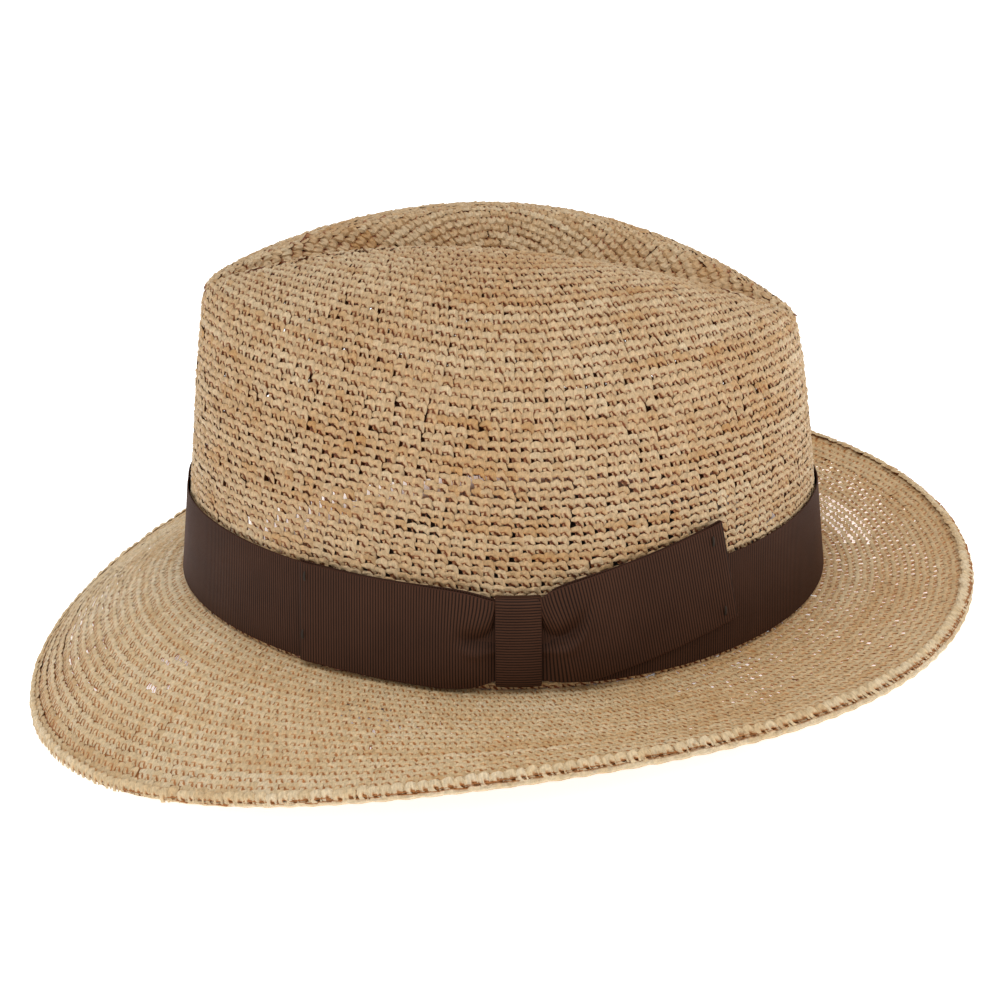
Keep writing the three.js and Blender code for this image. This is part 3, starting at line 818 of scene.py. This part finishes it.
def grosgrain_material(name, face, groove, edge):
    material, tree, shader = new_material(name, Roughness=0.6, IOR=1.45, Specular_IOR_Level=0.12)
    length = add(tree, "ShaderNodeAttribute", attribute_name="lengthways").outputs["Fac"]
    side = add(tree, "ShaderNodeAttribute", attribute_name="sideways").outputs["Fac"]
    turns = add(tree, "ShaderNodeMath", {0: length, 1: FULL_TURN}, operation="MULTIPLY")
    wave = add(tree, "ShaderNodeMath", {0: turns}, operation="COSINE")
    # Painted shade: the groove colour lies in the grooves between the ribs.
    depth = add(tree, "ShaderNodeMapRange", {"Value": wave, "From Min": -0.3, "From Max": 0.9})
    laid = add(tree, "ShaderNodeMix", {0: depth, 6: colour(face), 7: colour(groove)}, data_type="RGBA")
    side = add(tree, "ShaderNodeMath", {0: side}, operation="ABSOLUTE")
    at_edge = add(tree, "ShaderNodeMath", {0: side, 1: SELVEDGE}, operation="GREATER_THAN")
    laid = add(tree, "ShaderNodeMix", {0: at_edge, 6: laid.outputs[2], 7: colour(edge)}, data_type="RGBA")
    place = add(tree, "ShaderNodeTexCoord").outputs["Object"]
    worn = add(tree, "ShaderNodeTexNoise", {"Vector": place, "Scale": 1 / WEAR, "Detail": 4.0})
    value = add(
        tree, "ShaderNodeMapRange",
        {"Value": worn, "From Min": 0.3, "From Max": 0.7, "To Min": 0.9, "To Max": 1.1},
    )
    toned = add(tree, "ShaderNodeHueSaturation", {"Color": laid.outputs[2], "Value": value})
    tree.links.new(toned.outputs[0], shader.inputs["Base Color"])
    threads = add(tree, "ShaderNodeTexNoise", {"Vector": place, "Scale": 1 / WARP_THREAD, "Detail": 2.0})
    bump = add(tree, "ShaderNodeBump", {"Height": threads, "Strength": 0.5, "Distance": THREAD_RELIEF})
    tree.links.new(bump.outputs[0], shader.inputs["Normal"])
    return material


grosgrain = grosgrain_material("brown grosgrain, dull sheen", face=0x4C3022, groove=0x1C1009, edge=0x40261B)
ribs = ribs_tree()


# A woven ribbon over a grid of places along and across its middle layer. Sides are the places'
# shares across, from -1 to 1, and lengths how far along the ribbon they are.
def woven(name, places, lengths, sides, closed=False):
    rows, columns = len(sides), len(lengths)
    if closed:
        along = np.roll(places, -1, 0) - np.roll(places, 1, 0)
    else:
        along = np.gradient(places, axis=0)
    out = unit(np.cross(along, np.gradient(places, axis=1)))
    thickness = RIBBON_THICKNESS * np.where(np.abs(sides) > SELVEDGE, SELVEDGE_THICKNESS, 1.0)
    half = thickness[None, :, None] / 2
    points = np.concatenate([(places + out * half).reshape(-1, 3), (places - out * half).reshape(-1, 3)])
    polygons = []

    def face(*corners):
        polygons.append([(layer * columns + i % columns) * rows + j for layer, i, j in corners])

    top = rows - 1
    for i in range(columns if closed else columns - 1):
        for j in range(top):
            face((0, i, j), (0, i + 1, j), (0, i + 1, j + 1), (0, i, j + 1))
            face((1, i, j + 1), (1, i + 1, j + 1), (1, i + 1, j), (1, i, j))
        face((1, i, 0), (1, i + 1, 0), (0, i + 1, 0), (0, i, 0))
        face((0, i, top), (0, i + 1, top), (1, i + 1, top), (1, i, top))
    if not closed:
        last = columns - 1
        for j in range(top):
            face((0, 0, j), (0, 0, j + 1), (1, 0, j + 1), (1, 0, j))
            face((1, last, j), (1, last, j + 1), (0, last, j + 1), (0, last, j))
    lengthways = np.tile(np.repeat(lengths / RIB_PITCH, rows), 2)
    piece = drawn(name, points, polygons, lengthways=lengthways, sideways=np.tile(sides, 2 * columns))
    return run_tree(piece, ribs, Ribbon=grosgrain)


def dressed(piece, node):
    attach(piece, "root")
    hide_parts(node)
    return piece


# Sewn on, the band lies a little narrower than the ribbon is.
BAND_OUT, BAND_SHRINKS = 0.8 * mm, 0.995
band_sides = np.array([-1, -0.975, -0.6, 0, 0.6, 0.975, 1])
band_length = foot_length[-1]
band_columns = RIB_COLUMNS * round(band_length / RIB_PITCH)
band_lengths = np.arange(band_columns) * RIB_PITCH / RIB_COLUMNS
band_distance = np.arange(band_columns) / band_columns * band_length
from_bow = (band_distance + band_length / 2) % band_length - band_length / 2
band_heights = band_sides[None, :] * (RIBBON_WIDTH / 2 * pinched(from_bow))[:, None]
band_heights = RIBBON_LOW + RIBBON_WIDTH / 2 + band_heights * BAND_SHRINKS
band_places = on_wall(band_distance[:, None], band_heights, BAND_OUT)
band = woven("band", band_places, band_lengths, band_sides, closed=True)
dressed(band, "hat_band")

# Each loop of the bow is a length of the same ribbon, folded over at its end and laid flat: the back
# layer on the band and the front one on top. Both ends are caught and pinched under the keeper.
LOOP_LENGTH, LOOP_START, KEEPER_WIDTH, FOLD_RADIUS = 67.2 * mm, 1.0 * mm, 13.4 * mm, 0.45 * mm
# How far out of the straw the back layer lies, how much the loop settles along its length, how much
# the front layer lifts at the fold, and the least that either layer lies out.
LOOP_OUT, LOOP_SETTLES, FOLD_LIFTS = 1.9 * mm, 0.5 * mm, 0.5 * mm
LEAST_FRONT, LEAST_BACK = 1.95 * mm, 1.4 * mm
# The crease beside the keeper: how deep its hollow is, how wide below and above, and the lip under it.
HOLLOW_DEPTH, HOLLOW_BELOW, HOLLOW_ABOVE = 3.6 * mm, 0.9 * mm, 4.0 * mm
LIP_HEIGHT, LIP_DROP, LIP_WIDTH = 0.8 * mm, 2.6 * mm, 1.6 * mm
# How high the front layer bulges beside the keeper, how much the keeper presses it in, how far the
# crease pulls its upper half in, and how much wider than the ribbon the ironed loop is.
LOBE_HEIGHT, PRESSED_IN, CREASE_PULL, LOOP_SPREADS = 2.7 * mm, 0.3 * mm, 3.2 * mm, 1.02
loop_sides = np.concatenate([
    [-1, -0.975, -0.8, -0.6, -0.45], np.linspace(-0.35, 0.45, 11), [0.56, 0.68, 0.82, 0.975, 1],
])


def smooth_step(value, low, high):
    share = np.clip((value - low) / (high - low), 0, 1)
    return share * share * (3 - 2 * share)


# Side is -1 for the front loop and 1 for the rear one. The crease is at a height on the ribbon, and
# rises towards its end.
def bow_loop(name, side, slope, crease_height, crease_reach, crease_rise):
    flat = LOOP_LENGTH - FOLD_RADIUS - LOOP_START
    fold = math.pi * FOLD_RADIUS
    whole = 2 * flat + fold
    lengths = np.arange(0, whole, COLUMN)
    angle = np.clip((lengths - flat) / FOLD_RADIUS, 0, math.pi)
    front = smooth_step(angle, 0, math.pi)[:, None]
    reach = LOOP_START + np.where(lengths < flat + fold, np.minimum(lengths, flat), whole - lengths)
    reach = (reach + FOLD_RADIUS * np.sin(angle))[:, None]
    height = (loop_sides * RIBBON_WIDTH / 2)[None, :]
    past = np.maximum(reach - KEEPER_WIDTH / 2, 0)
    out = LOOP_OUT - LOOP_SETTLES * smooth_step(past, 12 * mm, 45 * mm)
    out = out + FOLD_RADIUS * (1 - np.cos(angle))[:, None]
    out = out + FOLD_LIFTS * front * smooth_step(past, 52 * mm, 58 * mm)
    near = 1 - smooth_step(past, 0.6 * crease_reach, 1.5 * crease_reach)
    over_crease = height - crease_height - crease_rise * (past / crease_reach) ** 4
    steep = np.where(over_crease < 0, HOLLOW_BELOW, HOLLOW_ABOVE)
    hollow = HOLLOW_DEPTH * np.exp(-((over_crease / steep) ** 2)) * near
    lip = LIP_HEIGHT * np.exp(-(((over_crease + LIP_DROP) / LIP_WIDTH) ** 2)) * near
    lobes = LOBE_HEIGHT * smooth_step(past, 0, 6 * mm) * (1 - smooth_step(past, 9 * mm, 30 * mm))
    lobes = lobes * (1 - 0.6 * (height / (15 * mm)) ** 4)
    pressed_in = PRESSED_IN * (1 - smooth_step(past, 0, 4 * mm))
    out = out + front * (lobes + lip - hollow - pressed_in)
    pull = CREASE_PULL * smooth_step(height, crease_height, 15 * mm) * np.exp(-((past / (10 * mm)) ** 2))
    reach = np.maximum(reach - front * pull * smooth_step(past, 0, 3 * mm), LOOP_START)
    shear = height * math.sin(slope) * np.clip(past / (7 * mm), 0, 1)
    middle = RIBBON_LOW + RIBBON_WIDTH / 2 + past * math.tan(slope)
    height = height * LOOP_SPREADS * pinched(reach)
    out = np.maximum(out, np.where(front > 0.5, LEAST_FRONT, LEAST_BACK))
    places = on_wall(side * (reach - shear), middle + height, out)
    piece = woven(name + "_ribbon", places, lengths, loop_sides)
    return dressed(piece, name)


# The rear loop rises off the band.
bow_loop("bow_front_loop", -1, math.radians(0.6), -0.6 * mm, 9 * mm, 0.5 * mm)
bow_loop("bow_rear_loop", 1, math.radians(10.5), -1.0 * mm, 12 * mm, 3 * mm)

# The keeper is a short ribbon wrapped upright round the bow's middle. Its ends turn in over the two
# edges of the band and are sewn down out of sight. Its path is given by heights over the head
# opening and distances out of the straw, in millimetres.
KEEPER_PATH = [
    (29.4, 0.7), (29.6, 2.2), (29.3, 3.6), (28.2, 4.4), (26.2, 4.6), (16.7, 4.65), (10.0, 4.5), (5.4, 4.2),
    (3.0, 3.8), (1.8, 2.9), (1.4, 0.7),
]
KEEPER_ROUNDINGS, KEEPER_BOWS, KEEPER_LEAST_OUT = 3, 0.35 * mm, 0.7 * mm
keeper_path = np.array(KEEPER_PATH) * mm
for _ in range(KEEPER_ROUNDINGS):
    ahead, behind = keeper_path[1:], keeper_path[:-1]
    cut_corners = np.stack([0.75 * behind + 0.25 * ahead, 0.25 * behind + 0.75 * ahead], 1).reshape(-1, 2)
    keeper_path = np.concatenate([keeper_path[:1], cut_corners, keeper_path[-1:]])
path_length = way_along(keeper_path)
keeper_lengths = np.arange(0, path_length[-1], COLUMN)
keeper_height = np.interp(keeper_lengths, path_length, keeper_path[:, 0])
keeper_out = np.interp(keeper_lengths, path_length, keeper_path[:, 1])
keeper_sides = np.array([-1, -0.95, -0.5, 0, 0.5, 0.95, 1])
bowed = KEEPER_BOWS * np.abs(keeper_sides) ** 3
keeper_out = np.maximum(keeper_out[:, None] - bowed[None, :], KEEPER_LEAST_OUT)
keeper_places = on_wall((keeper_sides * KEEPER_WIDTH / 2)[None, :], keeper_height[:, None], keeper_out)
keeper = woven("bow_keeper_ribbon", keeper_places, keeper_lengths, keeper_sides)
dressed(keeper, "bow_keeper")

# Short stitches of sewing thread hold the loops' ends and the rear loop down on the band. Each is a
# turn of thread that comes out of the ribbon and goes in again beside it. Their places are given by
# distance from the bow's middle, height over the head opening and distance out of the straw, in
# millimetres.
TACK_PLACES = [(-65.0, 28.4, 3.0), (-66.0, 9.8, 3.0), (60.8, 38.0, 3.0), (65.0, 15.4, 3.0)]
TACK_LENGTH, TACK_RISES, THREAD_RADIUS, TACK_STEPS, TACK_SIDES = 3.2 * mm, 0.35 * mm, 0.36 * mm, 8, 6
steps = np.linspace(0, 1, TACK_STEPS + 1)
thick = THREAD_RADIUS * np.sqrt(np.clip(1.02 - (2 * steps - 1) ** 4, 0, 1))
around_thread = np.arange(TACK_SIDES) / TACK_SIDES * FULL_TURN
tack_points, tack_faces = [], []
for distance, height, out in TACK_PLACES:
    first = len(tack_points)
    heights = height * mm + (steps - 0.5) * TACK_LENGTH
    spine = on_wall(distance * mm, heights, out * mm + TACK_RISES * np.sin(math.pi * steps))
    upwards = unit(np.gradient(spine, axis=0))
    sideways = unit(np.cross(upwards, [1.0, 0, 0]))
    for place, x, y, radius in zip(spine, sideways, np.cross(upwards, sideways), thick):
        tack_points += [place + (x * math.cos(a) + y * math.sin(a)) * radius for a in around_thread]
    tack_faces += between_rings(first, TACK_STEPS + 1, TACK_SIDES)
    end_ring = first + TACK_STEPS * TACK_SIDES
    tack_faces.append([first + j for j in reversed(range(TACK_SIDES))])
    tack_faces.append([end_ring + j for j in range(TACK_SIDES)])
tacks = drawn("bow_tacks", tack_points, tack_faces)
thread = new_material("brown cotton thread, matt", Base_Color=colour(0x2C2014), Roughness=0.8)[0]
tacks.data.materials.append(thread)
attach(tacks, "root")

# The camera stands on the bow's side, a little in front and above, as the photo was taken. The focal
# length is counted in pixels of a picture 1000 wide.
PICTURE, FOCAL_PIXELS = 1000, 2789.8
CAMERA_TURN, CAMERA_RISE = math.radians(86.4917), math.radians(23.4658)
CAMERA_TARGET, CAMERA_DISTANCE = np.array([0, -1.288 * mm, 22.898 * mm]), 900 * mm
level = math.cos(CAMERA_RISE)
back = np.array([math.sin(CAMERA_TURN) * level, -math.cos(CAMERA_TURN) * level, math.sin(CAMERA_RISE)])
right = unit(np.cross(-back, [0, 0, 1]))
up = np.cross(right, -back)
axes = [Vector(stand_turned(axis)) for axis in (right, up, back)]
lens = bpy.data.cameras.new("camera")
lens.sensor_width = 36
lens.lens = lens.sensor_width * FOCAL_PIXELS / PICTURE
camera = bpy.data.objects.new("camera", lens)
stands_at = Matrix.Translation(Vector(stand(CAMERA_TARGET + back * CAMERA_DISTANCE)))
camera.matrix_world = stands_at @ Matrix(axes).transposed().to_4x4()
bpy.context.collection.objects.link(camera)
bpy.context.scene.camera = camera

# The floor is white paper. Painted shade makes it dark right under the hat, in the hat's inside, and
# painted light makes it glow white away from it, over the hat's shadow. The shade is an oval about the
# hat's own size, and its rings are given as shares of it.
FLOOR_REACH, SHADE_SHIFT, SHADE_WIDTH, SHADE_LENGTH = 6.0, 20 * mm, 140 * mm, 153 * mm
floor_corners = [(x * FLOOR_REACH, y * FLOOR_REACH, 0) for x, y in ((-1, -1), (1, -1), (1, 1), (-1, 1))]
floor = drawn("floor", floor_corners, [(0, 1, 2, 3)])
paper, tree, shader = new_material("white paper, matt", Roughness=0.9, Emission_Color=colour(0xFFFFFF))
place = add(tree, "ShaderNodeTexCoord").outputs["Object"]
place = add(tree, "ShaderNodeVectorMath", {0: place, 1: (SHADE_SHIFT, 0.0, 0.0)})
shares = (1 / SHADE_WIDTH, 1 / SHADE_LENGTH, 0.0)
place = add(tree, "ShaderNodeVectorMath", {0: place, 1: shares}, operation="MULTIPLY")
far = add(tree, "ShaderNodeVectorMath", {0: place}, operation="LENGTH").outputs["Value"]
# Painted light: the glow away from the hat. Painted shade: the dark colour under it.
glow = add(tree, "ShaderNodeMapRange", {"Value": far, "From Min": 0.6, "From Max": 0.8, "To Max": 0.8})
shaded = add(tree, "ShaderNodeMapRange", {"Value": far, "From Min": 0.48, "From Max": 0.66})
toned = add(tree, "ShaderNodeMix", {0: shaded, 6: colour(0x4A4038), 7: colour(0xFCFCFC)}, data_type="RGBA")
tree.links.new(toned.outputs[2], shader.inputs["Base Color"])
tree.links.new(glow.outputs[0], shader.inputs["Emission Strength"])
floor.data.materials.append(paper)

# A room of even white light, with a large soft lamp above the bow's side.
world = bpy.data.worlds.new("studio")
world.use_nodes = True
world.node_tree.nodes["Background"].inputs["Color"].default_value = colour(0xFFFFFF)
world.node_tree.nodes["Background"].inputs["Strength"].default_value = 0.59
bpy.context.scene.world = world
lamp = bpy.data.lights.new("soft overhead lamp", "SUN")
lamp.angle = math.radians(70)
lamp.energy = 1.13
overhead = bpy.data.objects.new("soft overhead lamp", lamp)
overhead.rotation_euler = (math.radians(-8), math.radians(13), 0)
bpy.context.collection.objects.link(overhead)
bpy.context.scene.view_settings.view_transform = "Standard"
